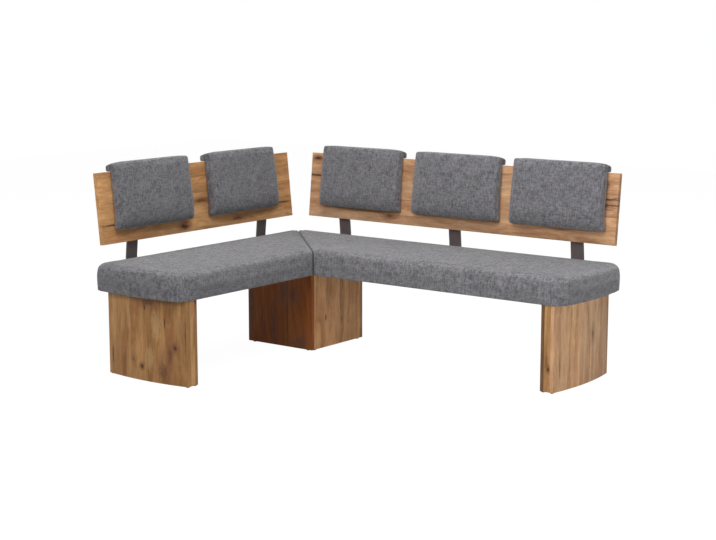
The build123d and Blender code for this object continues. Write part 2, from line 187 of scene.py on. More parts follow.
# Growth rings: long streaks that wander and bend round the knots
wander = calc(tree, "SUBTRACT", cloud(tree, stretch(tree, cut, (1.5, 6.0, 6.0)), 2.0), 0.5)
ring_place = calc(tree, "MULTIPLY", axes[1], 24.0)
ring_place = calc(tree, "ADD", ring_place, calc(tree, "MULTIPLY", wander, 4.6))
ring_place = calc(tree, "ADD", ring_place, calc(tree, "MULTIPLY", knot_push, 1.7))
ring_spot = place(tree, "CombineXYZ", {
    0: calc(tree, "MULTIPLY", along, 1.5),
    1: ring_place,
    2: calc(tree, "MULTIPLY", axes[2], 30.0),
}).outputs[0]
streak = cloud(tree, ring_spot, 6.0, 0.62)
fibre = cloud(tree, stretch(tree, cut, (11.0, 420.0, 420.0)), 3.0, 0.6)
grain_line = cloud(tree, stretch(tree, cut, (13.0, 150.0, 150.0), (5.0, 3.0, 7.0)), 3.0, 0.6)
pore = fade(tree, cloud(tree, stretch(tree, cut, (34.0, 1300.0, 1300.0)), 1.0), 0.60, 0.72)
# Cracks: thin dark checks along the grain, in some places only
check_wave = cloud(tree, stretch(tree, cut, (3.2, 34.0, 34.0)), 1.0)
check_line = calc(tree, "ABSOLUTE", calc(tree, "SUBTRACT", check_wave, 0.5))
check_zone = cloud(tree, stretch(tree, cut, (2.6, 9.0, 9.0), (4.0, 7.0, 2.0)), 1.0)
check_zone = fade(tree, check_zone, 0.55, 0.66)
check = calc(tree, "MULTIPLY", fade(tree, check_line, 0.024, 0.006), check_zone)
check = calc(tree, "MULTIPLY", check, given["Rustic"])
# Figure: broad pale and dark patches, heartwood and flecks that break up the streaks
patch = cloud(tree, stretch(tree, cut, (4.2, 15.0, 15.0), (3.0, 2.0, 9.0)), 6.0, 0.68)
pale = fade(tree, patch, 0.52, 0.70)
unrest = fade(tree, given["Rustic"], 0.0, 1.0, 0.35, 1.0)
figure = cloud(tree, stretch(tree, cut, (6.0, 20.0, 20.0), (2.0, 5.0, 1.0)), 5.0, 0.65)
figure = calc(tree, "MULTIPLY", fade(tree, figure, 0.52, 0.74), unrest)
fleck = cloud(tree, stretch(tree, cut, (26.0, 95.0, 95.0), (6.0, 1.0, 4.0)), 3.0, 0.6)
fleck = fade(tree, fleck, 0.54, 0.70)
ramp = place(tree, "ValToRGB", {0: streak})
ramp.color_ramp.elements[0].position = 0.30
ramp.color_ramp.elements[0].color = (0.250, 0.118, 0.048, 1)
ramp.color_ramp.elements[1].position = 0.70
ramp.color_ramp.elements[1].color = (0.560, 0.350, 0.190, 1)
for position, colour in ((0.43, (0.375, 0.200, 0.090, 1)), (0.54, (0.465, 0.270, 0.132, 1))):
    ramp.color_ramp.elements.new(position).color = colour
warmth = cloud(tree, stretch(tree, cut, (2.5, 16.0, 16.0), (1.0, 8.0, 3.0)), 2.0)
warmth = fade(tree, warmth, 0.45, 0.75, 0.0, 0.45)
colour = blend_colour(tree, warmth, ramp.outputs["Color"], (0.400, 0.185, 0.095, 1))
colour = blend_colour(tree, calc(tree, "MULTIPLY", pale, 0.45), colour, (0.520, 0.335, 0.165, 1))
colour = blend_colour(tree, calc(tree, "MULTIPLY", figure, 0.58), colour, (0.225, 0.105, 0.045, 1))
colour = blend_colour(tree, calc(tree, "MULTIPLY", fleck, 0.30), colour, (0.600, 0.390, 0.215, 1))
board_shade = place(tree, "SeparateColor", {0: board_luck["Color"]}).outputs[1]
board_tone = calc(tree, "MULTIPLY_ADD", board_shade, 0.30, 0.86)
fibre_tone = calc(tree, "MULTIPLY_ADD", fibre, 0.50, 0.75)
patch_tone = calc(tree, "MULTIPLY_ADD", fade(tree, patch, 0.32, 0.68, -0.22, 0.18), unrest, 1.0)
grain_tone = fade(tree, grain_line, 0.28, 0.72, 0.88, 1.10)
tone = calc(tree, "MULTIPLY", board_tone, fibre_tone)
tone = calc(tree, "MULTIPLY", tone, calc(tree, "MULTIPLY", patch_tone, grain_tone))
grey = place(tree, "CombineColor", {0: tone, 1: tone, 2: tone}).outputs[0]
colour = blend_colour(tree, 1.0, colour, grey, "MULTIPLY")
colour = blend_colour(tree, 1.0, colour, given["Tint"], "MULTIPLY")
colour = blend_colour(tree, calc(tree, "MULTIPLY", pore, 0.35), colour, (0.13, 0.06, 0.025, 1))
colour = blend_colour(tree, calc(tree, "MULTIPLY", knot_ring, 0.55), colour, (0.21, 0.085, 0.035, 1))
colour = blend_colour(tree, calc(tree, "MULTIPLY", knot_core, 0.88), colour, (0.045, 0.018, 0.009, 1))
colour = blend_colour(tree, calc(tree, "MULTIPLY", check, 0.85), colour, (0.055, 0.024, 0.011, 1))
joint = fade(tree, board_edge, 0.03, 0.0)
colour = blend_colour(tree, calc(tree, "MULTIPLY", joint, 0.35), colour, (0.14, 0.065, 0.03, 1))
tree.links.new(colour, result["Color"])
tree.links.new(calc(tree, "MULTIPLY_ADD", streak, -0.16, 0.62), result["Roughness"])
relief = calc(tree, "MULTIPLY_ADD", fibre, 0.30, calc(tree, "MULTIPLY", streak, 0.30))
relief = calc(tree, "SUBTRACT", relief, calc(tree, "MULTIPLY", pore, 0.25))
pit = calc(tree, "MAXIMUM", check, calc(tree, "MULTIPLY", knot_core, 0.7))
relief = calc(tree, "SUBTRACT", relief, pit)
tree.links.new(relief, result["Height"])

# Flaws at known places: a ragged dark core with a paler halo round it
flaw_group, given, result = new_group(
    "oak_flaw",
    (("Vector", "Vector"), ("Place", "Vector"), ("Size", "Vector")),
    (("Core", "Float"), ("Halo", "Float")),
)
tree = flaw_group
flaw_sockets = {0: given["Vector"], 1: given["Place"]}
away = place(tree, "VectorMath", flaw_sockets, operation="SUBTRACT").outputs[0]
flat_away = stretch(tree, away, (1.0, 1.0, 0.0))
reach = place(tree, "VectorMath", {0: flat_away, 1: given["Size"]}, operation="DIVIDE").outputs[0]
distance = place(tree, "VectorMath", {0: reach}, operation="LENGTH").outputs["Value"]
ragged = cloud(tree, stretch(tree, given["Vector"], (70.0, 190.0, 190.0)), 3.0, 0.65)
broad = cloud(tree, stretch(tree, given["Vector"], (22.0, 60.0, 60.0)), 2.0, 0.6)
distance = calc(tree, "MULTIPLY_ADD", calc(tree, "SUBTRACT", ragged, 0.5), 1.5, distance)
distance = calc(tree, "MULTIPLY_ADD", calc(tree, "SUBTRACT", broad, 0.5), 1.2, distance)
tree.links.new(fade(tree, distance, 1.15, 0.35), result["Core"])
tree.links.new(fade(tree, distance, 2.9, 0.6), result["Halo"])
# Share and colour of each kind's core, and share of its halo
flaw_looks = {
    "knot": (0.94, (0.040, 0.015, 0.008, 1), 0.85),
    "crack": (0.88, (0.045, 0.020, 0.010, 1), 0.25),
    "stain": (0.70, (0.110, 0.042, 0.020, 1), 0.45),
    "seam": (0.55, (0.085, 0.040, 0.020, 1), 0.10),
    "split": (0.95, (0.010, 0.005, 0.003, 1), 0.40),
    "pale": (0.55, (0.480, 0.310, 0.140, 1), 0.0),
}


def oak(name, grain, across, seed, tint, flaws, rustic):
    """Oiled oak with its grain along one axis, boards side by side along another, and known flaws.

    A flaw is its kind, its place along and across the grain, and its half length and half width.
    """
    made, tree, shader, where = new_material(name)
    axes = place(tree, "SeparateXYZ", {0: where}).outputs
    depth = 3 - grain - across
    turned = place(tree, "CombineXYZ", {0: axes[grain], 1: axes[across], 2: axes[depth]}).outputs[0]
    wood = use_group(tree, oak_group, {
        "Vector": turned, "Seed": seed, "Tint": (*tint, 1), "Rustic": rustic})
    colour, height = wood["Color"], wood["Height"]
    for kind, along, aside, half_length, half_width in flaws:
        core_share, core_colour, halo_share = flaw_looks[kind]
        flaw = use_group(tree, flaw_group, {
            "Vector": turned, "Place": (along, aside, 0.0), "Size": (half_length, half_width, 1.0)})
        halo = calc(tree, "MULTIPLY", flaw["Halo"], halo_share)
        colour = blend_colour(tree, halo, colour, (0.170, 0.068, 0.030, 1))
        core = calc(tree, "MULTIPLY", flaw["Core"], core_share)
        colour = blend_colour(tree, core, colour, core_colour)
        height = calc(tree, "SUBTRACT", height, calc(tree, "MULTIPLY", core, 0.6))
    tree.links.new(colour, shader.inputs["Base Color"])
    tree.links.new(wood["Roughness"], shader.inputs["Roughness"])
    raise_bump(tree, shader, height, 0.0012, 0.7)
    shader.inputs["Specular IOR Level"].default_value = 0.24
    return made


X_AXIS, Y_AXIS, Z_AXIS = 0, 1, 2
front_flaws = (("split", 0.18, -0.574, 0.24, 0.004), ("split", 0.09, -0.732, 0.09, 0.003),
               ("stain", 0.262, -0.602, 0.050, 0.022), ("stain", 0.250, -0.540, 0.040, 0.020),
               ("stain", 0.20, -0.790, 0.16, 0.014), ("stain", 0.08, -0.655, 0.08, 0.010),
               ("stain", 0.015, -0.500, 0.060, 0.045))
side_flaws = (("crack", 0.142, 0.318, 0.015, 0.005), ("seam", 0.117, 0.436, 0.013, 0.006),
              ("seam", 0.20, 0.430, 0.20, 0.003))
# Board tints: the front board is darkened well below oak's tone, partly a darker board and partly
# painted shade from under the short wing; the side board is lifted above oak's own colour as painted
# light under the long wing's seat
plinth_panels = (
    ("front", X_AXIS, 1.0, (0.72, 0.34, 0.050), front_flaws, 0.2),
    ("rear", X_AXIS, 2.0, (0.90, 0.82, 0.70), (), 1.0),
    ("side", Y_AXIS, 3.0, (1.54, 1.40, 1.28), side_flaws, 0.15),
    ("outer", Y_AXIS, 4.0, (0.90, 0.82, 0.70), (), 1.0),
)
for panel, across, seed, tint, flaws, rustic in plinth_panels:
    wood = oak(f"oak_plinth_{panel}", Z_AXIS, across, seed, tint, flaws, rustic)
    dress((f"plinth_{panel}_panel",), wood)

# Posts, battens and cross rails: sawn softwood strips hidden inside the plinth and the legs.
# They are glued in and left raw, with a straight pale grain.
raw_wood, tree, shader, where = new_material("raw_softwood")
band = cloud(tree, stretch(tree, where, (60.0, 60.0, 2.0)), 4.0, 0.6)
sawn = blend_colour(tree, band, (0.62, 0.44, 0.25, 1), (0.44, 0.28, 0.14, 1))
tree.links.new(sawn, shader.inputs["Base Color"])
tree.links.new(fade(tree, band, 0.2, 0.8, 0.65, 0.8), shader.inputs["Roughness"])
raise_bump(tree, shader, band, 0.0006)
dress(("plinth_corner_posts", "plinth_top_battens",
       "leg_cross_rails_long", "leg_cross_rails_short"), raw_wood)

# End legs: hollow oak panels, flat inside and bowed outside, with upright grain.
# A bent skin is glued over an inner panel and two edge rails that show at the front and rear.
leg_flaws = {
    "long_front": (("knot", 0.099, 0.843, 0.009, 0.005), ("seam", 0.125, 0.833, 0.050, 0.010)),
    "long": (
        ("seam", 0.12, 0.438, 0.13, 0.003), ("stain", 0.207, 0.464, 0.022, 0.010),
        ("seam", 0.18, 0.622, 0.24, 0.007), ("seam", 0.11, 0.215, 0.050, 0.005)),
    "short": (
        ("knot", 0.164, -0.450, 0.011, 0.010), ("knot", 0.066, -0.632, 0.010, 0.009),
        ("crack", 0.321, -0.610, 0.017, 0.006), ("crack", 0.265, -0.501, 0.030, 0.004),
        ("crack", 0.095, -0.822, 0.050, 0.005), ("seam", 0.130, -0.595, 0.16, 0.003),
        ("stain", 0.050, -0.513, 0.048, 0.026), ("stain", 0.130, -0.475, 0.045, 0.013),
        ("crack", 0.223, -0.397, 0.085, 0.003), ("pale", 0.250, -0.545, 0.070, 0.030),
        # The last stain darkens a short band across the top of the skin, just under the seat
        ("pale", 0.110, -0.585, 0.060, 0.022), ("stain", 0.343, -0.590, 0.014, 0.040)),
}
# On the long leg the skin's tint lifts it well above oak's own colour as painted light, and the inner
# panel's tint darkens it as painted shade
leg_pieces = {
    "long": (
        ("skin", Y_AXIS, 5.0, (1.34, 1.38, 1.50), leg_flaws["long"], 0.1),
        ("front_rail", X_AXIS, 5.4, (0.76, 0.70, 0.55), leg_flaws["long_front"], 0.2),
        ("rear_rail", X_AXIS, 5.7, (0.80, 0.74, 0.64), (), 0.5),
        ("inner_panel", Y_AXIS, 6.1, (0.30, 0.25, 0.20), (), 0.5)),
    "short": (
        ("skin", X_AXIS, 6.3, (0.76, 0.67, 0.50), leg_flaws["short"], 0.5),
        ("front_rail", Y_AXIS, 6.7, (0.86, 0.82, 0.64), (), 0.4),
        ("rear_rail", Y_AXIS, 7.2, (0.80, 0.74, 0.64), (), 0.5),
        ("inner_panel", X_AXIS, 7.6, (0.62, 0.57, 0.48), (), 0.5)),
}
for wing, pieces in leg_pieces.items():
    for piece, across, seed, tint, flaws, rustic in pieces:
        wood = oak(f"oak_leg_{piece}_{wing}", Z_AXIS, across, seed, tint, flaws, rustic)
        dress((f"leg_{piece}_{wing}",), wood)

# Seat boards, lining and hidden steel: plywood under each pad with a black non-woven lining,
# and zinc-plated angles, seam plates and screws that hold the legs, plinth and brackets to it.
plywood, tree, shader, where = new_material("raw_plywood")
ply_grain = cloud(tree, stretch(tree, where, (3.0, 90.0, 90.0)), 4.0, 0.6)
veneer = blend_colour(tree, ply_grain, (0.60, 0.42, 0.24, 1), (0.42, 0.27, 0.14, 1))
tree.links.new(veneer, shader.inputs["Base Color"])
tree.links.new(fade(tree, ply_grain, 0.2, 0.8, 0.6, 0.75), shader.inputs["Roughness"])
dress(("seat_board_long", "seat_board_short"), plywood)

lining, tree, shader, where = new_material("black_lining")
felt = cloud(tree, stretch(tree, where, (700.0, 700.0, 700.0)), 4.0, 0.7)
fleece = blend_colour(tree, felt, (0.018, 0.018, 0.019, 1), (0.05, 0.05, 0.052, 1))
tree.links.new(fleece, shader.inputs["Base Color"])
tree.links.new(fade(tree, felt, 0.2, 0.8, 0.8, 0.95), shader.inputs["Roughness"])
raise_bump(tree, shader, felt, 0.0006)
dress(("seat_lining_long", "seat_lining_short"), lining)

zinc, tree, shader, where = new_material("zinc_plate")
spangle = cloud(tree, stretch(tree, where, (240.0, 240.0, 240.0)), 3.0)
plated = blend_colour(tree, spangle, (0.50, 0.51, 0.52, 1), (0.68, 0.68, 0.66, 1))
tree.links.new(plated, shader.inputs["Base Color"])
tree.links.new(fade(tree, spangle, 0.2, 0.8, 0.28, 0.45), shader.inputs["Roughness"])
shader.inputs["Metallic"].default_value = 1.0
dress(("leg_angles", "mitre_plates", "batten_screws", "angle_screws", "mitre_plate_screws",
       "bracket_foot_screws", "panel_screws"), zinc)

# Seats: thick foam pads in a mottled grey woven cover, drawn tight and stapled under the board.
# The two covers meet in a mitre, where each one turns down in a tight roll; the dark line along the
# seam is painted shade in the covers' colour over the narrow gap between them.
long_low, long_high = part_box("seat_cover_long")
short_low, short_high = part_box("seat_cover_short")
inner_x = short_high.x
inner_y = long_low.y
weave_group, given, result = new_group(
    "mottled_weave",
    (("Vector", "Vector"), ("Light", "Color"), ("Dark", "Color")),
    (("Color", "Color"), ("Height", "Float")),
)
tree = weave_group
facing = place(tree, "SeparateXYZ", {0: place(tree, "NewGeometry").outputs["Normal"]}).outputs
axes = place(tree, "SeparateXYZ", {0: given["Vector"]}).outputs
thread_pitch = 0.0021
thread_turn = 2 * math.pi / thread_pitch
threads = [calc(tree, "SINE", calc(tree, "MULTIPLY", axis, thread_turn)) for axis in axes]
weave = 0.0
for first, second, normal in ((0, 1, 2), (0, 2, 1), (1, 2, 0)):
    crossing = calc(tree, "MULTIPLY", threads[first], threads[second])
    share = calc(tree, "POWER", calc(tree, "ABSOLUTE", facing[normal]), 2.0)
    weave = calc(tree, "MULTIPLY_ADD", crossing, share, weave)
yarn = cloud(tree, stretch(tree, given["Vector"], (330.0, 330.0, 330.0)), 2.0, 0.6)
warp = cloud(tree, stretch(tree, given["Vector"], (205.0, 52.0, 52.0)), 3.0, 0.65)
weft = cloud(tree, stretch(tree, given["Vector"], (42.0, 190.0, 190.0)), 3.0, 0.6)
blotch = cloud(tree, stretch(tree, given["Vector"], (22.0, 26.0, 22.0)), 4.0, 0.6)
mottle = calc(tree, "MULTIPLY_ADD", yarn, 0.18, calc(tree, "MULTIPLY", warp, 0.40))
mottle = calc(tree, "MULTIPLY_ADD", weft, 0.29, mottle)
mottle = calc(tree, "MULTIPLY_ADD", blotch, 0.13, mottle)
# Lying cloth is seen at a low angle, which blurs the mottle, so it gets more contrast
contrast = fade(tree, calc(tree, "ABSOLUTE", facing[2]), 0.3, 0.9, 0.80, 1.60)
mottle = calc(tree, "MULTIPLY_ADD", calc(tree, "SUBTRACT", mottle, 0.5), contrast, 0.5)
mottle = calc(tree, "MULTIPLY_ADD", weave, 0.02, mottle)
lightness = fade(tree, mottle, 0.408, 0.592)
tree.links.new(blend_colour(tree, lightness, given["Dark"], given["Light"]), result["Color"])
relief = calc(tree, "MULTIPLY_ADD", weave, 0.35, calc(tree, "MULTIPLY", yarn, 0.65))
tree.links.new(relief, result["Height"])

# Each wing gets its own copy of the fabric: the long wing's is painted 4% lighter and the short wing's
# 8% darker, as painted light and shade for how each wing is lit
cover_fabric = {}
painted_wing_shadings = (("long", (X_AXIS, Y_AXIS, Z_AXIS), 1.04), ("short", (Y_AXIS, X_AXIS, Z_AXIS), 0.92))
for wing, order, painted_wing_shading in painted_wing_shadings:
    cover_fabric[wing], tree, shader, where = new_material(f"grey_fabric_{wing}_wing")
    axes = place(tree, "SeparateXYZ", {0: where}).outputs
    swapped = {step: axes[axis] for step, axis in enumerate(order)}
    turned = place(tree, "CombineXYZ", swapped).outputs[0]
    # The wing's factor scales both colours: painted light on the long wing, painted shade on the short
    # one
    light = (0.220 * painted_wing_shading, 0.216 * painted_wing_shading, 0.230 * painted_wing_shading, 1)
    dark = (0.072 * painted_wing_shading, 0.071 * painted_wing_shading, 0.079 * painted_wing_shading, 1)
    cloth_look = use_group(tree, weave_group, {"Vector": turned, "Light": light, "Dark": dark})
    # Painted shade: the cover darkens to near black within a few millimetres either side of the mitre
    # seam, standing in for the shade in the gap between the covers
    off_seam = calc(tree, "SUBTRACT", calc(tree, "ADD", axes[0], axes[1]), inner_x + inner_y)
    seam_painted_shade = fade(tree, calc(tree, "ABSOLUTE", off_seam), 0.0085, 0.0030, 0.0, 0.85)
    colour = blend_colour(tree, seam_painted_shade, cloth_look["Color"], (0.020, 0.020, 0.022, 1))
    tree.links.new(colour, shader.inputs["Base Color"])
    raise_bump(tree, shader, cloth_look["Height"], 0.0011, 0.8)
    shader.inputs["Roughness"].default_value = 0.9
    shader.inputs["Specular IOR Level"].default_value = 0.2
    shader.inputs["Sheen Weight"].default_value = 0.42
    shader.inputs["Sheen Roughness"].default_value = 0.45


def piece_from(name, points, faces):
    """New smooth mesh object in the frame."""
    mesh = bpy.data.meshes.new(name)
    mesh.from_pydata([tuple(point) for point in points], [], faces)
    mesh.validate()
    mesh.polygons.foreach_set("use_smooth", [True] * len(mesh.polygons))
    made = bpy.data.objects.new(name, mesh)
    bpy.context.scene.collection.objects.link(made)
    return made


def face_outward(piece):
    """Turns all faces of a closed mesh outward."""
    mesh = bmesh.new()
    mesh.from_mesh(piece.data)
    bmesh.ops.recalc_face_normals(mesh, faces=mesh.faces)
    mesh.to_mesh(piece.data)
    mesh.free()


def skin_rings(name, rings):
    """Closed mesh through rings of as many points each, with both ends filled."""
    count = len(rings[0])
    points = [point for ring in rings for point in ring]
    faces = []
    for row in range(len(rings) - 1):
        for step in range(count):
            following = (step + 1) % count
            low, high = row * count, (row + 1) * count
            faces.append((low + step, low + following, high + following, high + step))
    faces.append(tuple(reversed(range(count))))
    faces.append(tuple(range(len(points) - count, len(points))))
    made = piece_from(name, points, faces)
    face_outward(made)
    return made


def rows_of(mesh, value):
    """One vector value of all points of a mesh, such as their places, as rows of an array."""
    flat = np.zeros(len(mesh.vertices) * 3)
    mesh.vertices.foreach_get(value, flat)
    return flat.reshape(-1, 3)


def apply_modifiers(piece):
    """Keeps the mesh that the modifiers give, smooth shaded, and drops them."""
    graph = bpy.context.evaluated_depsgraph_get()
    piece.data = bpy.data.meshes.new_from_object(piece.evaluated_get(graph))
    piece.modifiers.clear()
    piece.data.polygons.foreach_set("use_smooth", [True] * len(piece.data.polygons))


def even_mesh(piece, voxel):
    """Remeshes a piece evenly."""
    remesh = piece.modifiers.new("even_mesh", "REMESH")
    remesh.mode = "VOXEL"
    remesh.voxel_size = voxel
    apply_modifiers(piece)


def puff(piece, pressure, swell, frames=11):
    """Lets pressure swell the cover as cloth; points move outward only, as far as the swell allows."""
    cloth = piece.modifiers.new("filling", "CLOTH")
    cloth.settings.quality = 3
    cloth.settings.mass = 0.35
    cloth.settings.tension_stiffness = 18.0
    cloth.settings.compression_stiffness = 18.0
    cloth.settings.shear_stiffness = 8.0
    cloth.settings.bending_stiffness = 2.0
    cloth.settings.use_pressure = True
    cloth.settings.uniform_pressure_force = pressure
    cloth.settings.effector_weights.gravity = 0.0
    cloth.point_cache.frame_start = 1
    cloth.point_cache.frame_end = frames
    scene = bpy.context.scene
    for step in range(1, frames + 1):
        scene.frame_set(step)
    graph = bpy.context.evaluated_depsgraph_get()
    swollen = bpy.data.meshes.new_from_object(piece.evaluated_get(graph))
    start, outward = rows_of(piece.data, "co"), rows_of(piece.data, "normal")
    rise = np.clip(((rows_of(swollen, "co") - start) * outward).sum(axis=1), 0.0, swell)
    piece.modifiers.clear()
    piece.data.vertices.foreach_set("co", (start + outward * rise[:, None]).ravel())
    piece.data.update()
    bpy.data.meshes.remove(swollen)
    scene.frame_set(1)


def soften(piece):
    """One level of subdivision, applied."""
    smooth = piece.modifiers.new("soft_surface", "SUBSURF")
    smooth.levels = smooth.render_levels = 1
    apply_modifiers(piece)


seat_depth = long_high.y - long_low.y
seat_bottom = long_low.z
seat_top = long_high.z
end_bow = 0.022
front_corner = 0.070
rear_corner = 0.040
least_corner = 0.012
edge_round = 0.027
mitre_round = 0.009
side_bulge = 0.008
hem_bulge = 0.004
flank_bulge = 0.005
crown = 0.004
crown_reach = 0.15
mitre_crown_reach = 0.02
swell_room = 0.002
room_rise = 0.06
seam_gap = 0.0042
hem_lift = 0.0003
hem_hold = 0.05
hem_blend = 0.03
seam_hold = 0.030
seam_blend = 0.015
seat_voxel = 0.0094
seat_swell = 0.005
fill_pressure = 4.0


def seat_ring(reach, inset, mitre_inset, height):
    """Plan of a seat on the long wing's axes, as points evenly spread along each of its stretches."""
    shift = (seam_gap / 2 + mitre_inset) * math.sqrt(2)
    front, rear, end = inset, seat_depth - inset, reach - inset
    half = (rear - front) / 2
    bow_radius = (half ** 2 + end_bow ** 2) / (2 * end_bow)
    centre = Vector((end + end_bow - bow_radius, (front + rear) / 2))
    points = []

    def arc(middle, radius, start, stop, count):
        for step in range(count):
            angle = start + (stop - start) * step / count
            points.append((middle[0] + radius * math.cos(angle),
                           middle[1] + radius * math.sin(angle)))

    def run(start, stop, count):
        for step in range(count):
            share = step / count
            points.append((start[0] + (stop[0] - start[0]) * share,
                           start[1] + (stop[1] - start[1]) * share))

    def corner(radius, level):
        reach_in = math.sqrt((bow_radius - radius) ** 2 - (level - centre[1]) ** 2)
        return (centre[0] + reach_in, level)

    front_r = max(front_corner - inset, least_corner)
    rear_r = max(rear_corner - inset, least_corner)
    low = corner(front_r, front + front_r)
    high = corner(rear_r, rear - rear_r)
    low_turn = math.atan2(low[1] - centre[1], low[0] - centre[0])
    high_turn = math.atan2(high[1] - centre[1], high[0] - centre[0])
    run((shift - front, front), (low[0], front), 120)
    arc(low, front_r, -math.pi / 2, low_turn, 16)
    arc(centre, bow_radius, low_turn, high_turn, 32)
    arc(high, rear_r, high_turn, math.pi / 2, 14)
    run((high[0], rear), (shift - rear, rear), 120)
    run((shift - rear, rear), (shift - front, front), 44)
    return [(x, y, height) for x, y in points]


def seat_rings(reach):
    """Rings from the underside up the bulged sides, over the rounded edge and in over the crown."""
    low = seat_bottom + hem_lift
    shoulder = seat_top - crown - edge_round
    rows = [(low, hem_bulge, 0.0)]
    for share in (0.12, 0.3, 0.5, 0.75):
        rise = share * (shoulder - low)
        rows.append((low + rise, flank_bulge * (1 - math.sin(share * math.pi * 0.62)), 0.0))
    for step in range(9):
        angle = step / 8 * math.pi / 2
        rise = edge_round * math.sin(angle)
        over = max(rise - (edge_round - mitre_round), 0.0) / mitre_round
        mitre_in = mitre_round * (1 - math.sqrt(max(1 - over ** 2, 0.0)))
        rows.append((shoulder + rise, side_bulge / 3 + edge_round * (1 - math.cos(angle)), mitre_in))
    base = side_bulge / 3 + edge_round
    for share in (0.25, 0.5, 0.75, 1.0):
        lift = crown * (1 - (1 - share) ** 2)
        inset = base + crown_reach * share
        rows.append((seat_top - crown + lift, inset, mitre_round + mitre_crown_reach * share))
    made = []
    for height, inset, mitre_in in rows:
        room = swell_room * min(1.0, (height - low) / room_rise)
        made.append(seat_ring(reach, inset + room, mitre_in, height - room * 0.5))
    return made


def lay_seat(wing, reach):
    """Sewn and filled seat of one wing, held tight again at its hem and along the seam."""
    pad = skin_rings(f"seat_pad_{wing}", seat_rings(reach))
    graph = bpy.context.evaluated_depsgraph_get()
    drawn_tight = BVHTree.FromObject(pad, graph)
    even_mesh(pad, seat_voxel)
    puff(pad, fill_pressure, seat_swell)
    soften(pad)
    points = rows_of(pad.data, "co")
    near_hem = np.clip((seat_bottom + hem_hold - points[:, 2]) / hem_blend, 0.0, 1.0)
    off_seam = (points[:, 0] + points[:, 1]) / math.sqrt(2)
    near_seam = np.clip((seam_hold - off_seam) / seam_blend, 0.0, 1.0)
    hold = np.maximum(near_hem, near_seam)
    for index in np.nonzero(hold)[0]:
        held = np.array(drawn_tight.find_nearest(points[index])[0])
        points[index] += (held - points[index]) * hold[index]
    points[:, 2] = np.clip(points[:, 2], seat_bottom + hem_lift, seat_top + crown)
    if wing == "short":
        points = np.stack((-points[:, 1], -points[:, 0], points[:, 2]), axis=1)
        pad.data.flip_normals()
    points += np.array((inner_x, inner_y, 0.0))
    pad.data.vertices.foreach_set("co", points.ravel())
    pad.data.update()
    pad.data.materials.append(cover_fabric[wing])
    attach(pad, "bench")
    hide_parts(f"seat_cover_{wing}", f"seat_foam_{wing}")


lay_seat("long", long_high.x - inner_x - end_bow)
lay_seat("short", inner_y - short_low.y - end_bow)

# Back brackets: flat steel bars, bent under the seat, up behind it and along the back panel.
# They are powder coated in a dark anthracite with a fine orange-peel texture.
powder_coat, tree, shader, where = new_material("anthracite_powder_coat")
peel = cloud(tree, stretch(tree, where, (1100.0, 1100.0, 1100.0)), 2.0)
dust = cloud(tree, stretch(tree, where, (25.0, 25.0, 25.0)), 3.0)
coated = blend_colour(tree, dust, (0.088, 0.068, 0.066, 1), (0.122, 0.097, 0.094, 1))
tree.links.new(coated, shader.inputs["Base Color"])
tree.links.new(fade(tree, dust, 0.2, 0.8, 0.42, 0.58), shader.inputs["Roughness"])
raise_bump(tree, shader, peel, 0.0003, 0.6)
dress([name for name in nodes if name.startswith("bracket_") and name[-1].isdigit()], powder_coat)

# Back panels: solid oak boards that lean back, their grain and cracks running along the wing.
# Each is screwed to its brackets from behind, and the two stop short of each other at the corner.
panel_flaws = {
    "long": (
        ("crack", -0.324, 0.739, 0.055, 0.004), ("knot", 0.224, 0.744, 0.022, 0.009),
        ("crack", 0.846, 0.750, 0.060, 0.003), ("crack", 0.850, 0.725, 0.050, 0.003),
        ("crack", -0.765, 0.756, 0.050, 0.005), ("knot", -0.760, 0.838, 0.020, 0.008)),
    "short": (
        ("knot", -0.150, 0.584, 0.024, 0.011), ("stain", -0.320, 0.624, 0.030, 0.010),
        ("stain", 0.210, 0.583, 0.050, 0.009), ("crack", 0.540, 0.628, 0.080, 0.005),
        ("crack", -0.600, 0.635, 0.060, 0.004), ("stain", -0.030, 0.690, 0.045, 0.008)),
}
panel_cuts = (("long", X_AXIS, 8.2, (1.08, 1.06, 1.16)), ("short", Y_AXIS, 9.6, (1.08, 0.98, 0.83)))
for wing, grain, seed, tint in panel_cuts:
    wood = oak(f"oak_back_panel_{wing}", grain, Z_AXIS, seed, tint, panel_flaws[wing], 0.6)
    dress((f"back_panel_{wing}",), wood)

# Cushions: flat sewn pads in the seats' fabric, hung over the panel's top edge by a folded head.
# Behind the panel a thin flap of the same cloth hangs down and keeps the cushion from slipping off.
panel_lean = math.radians(6.0)
panel_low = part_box("back_panel_long")[0]
panel_thick = 0.022
panel_tall = 0.309
panel_foot = Vector((0.0, panel_low.y, panel_low.z + panel_thick * math.sin(panel_lean)))
head_rise = 0.038
hang_low = 0.058
pad_thick = 0.050
side_round = 0.006
fold_deep = 0.0275
slack = 0.0008
cushion_voxel = 0.0055
cushion_swell = 0.004
belly = 0.25
side_reach = 0.080
foot_reach = 0.070
end_reach = 0.020
end_blend = 0.012
crease_deep = 0.013
crease_wide = 0.0035
crease_soft = 0.006
roll_out = 0.002
foot_flare = 0.007
waist = 0.005


def on_panel(points, wing, middle):
    """Points given along the panel, before its face and up its slope, placed on a wing's panel."""
    along, before, up = points[:, 0], points[:, 1], points[:, 2]
    back = up * math.sin(panel_lean) - before * math.cos(panel_lean)
    height = up * math.cos(panel_lean) + before * math.sin(panel_lean) + panel_foot.z
    depth = panel_foot.y + back
    if wing == "long":
        return np.stack((along + middle, depth, height), axis=1)
    return np.stack((inner_x - (depth - inner_y), middle - along, height), axis=1)


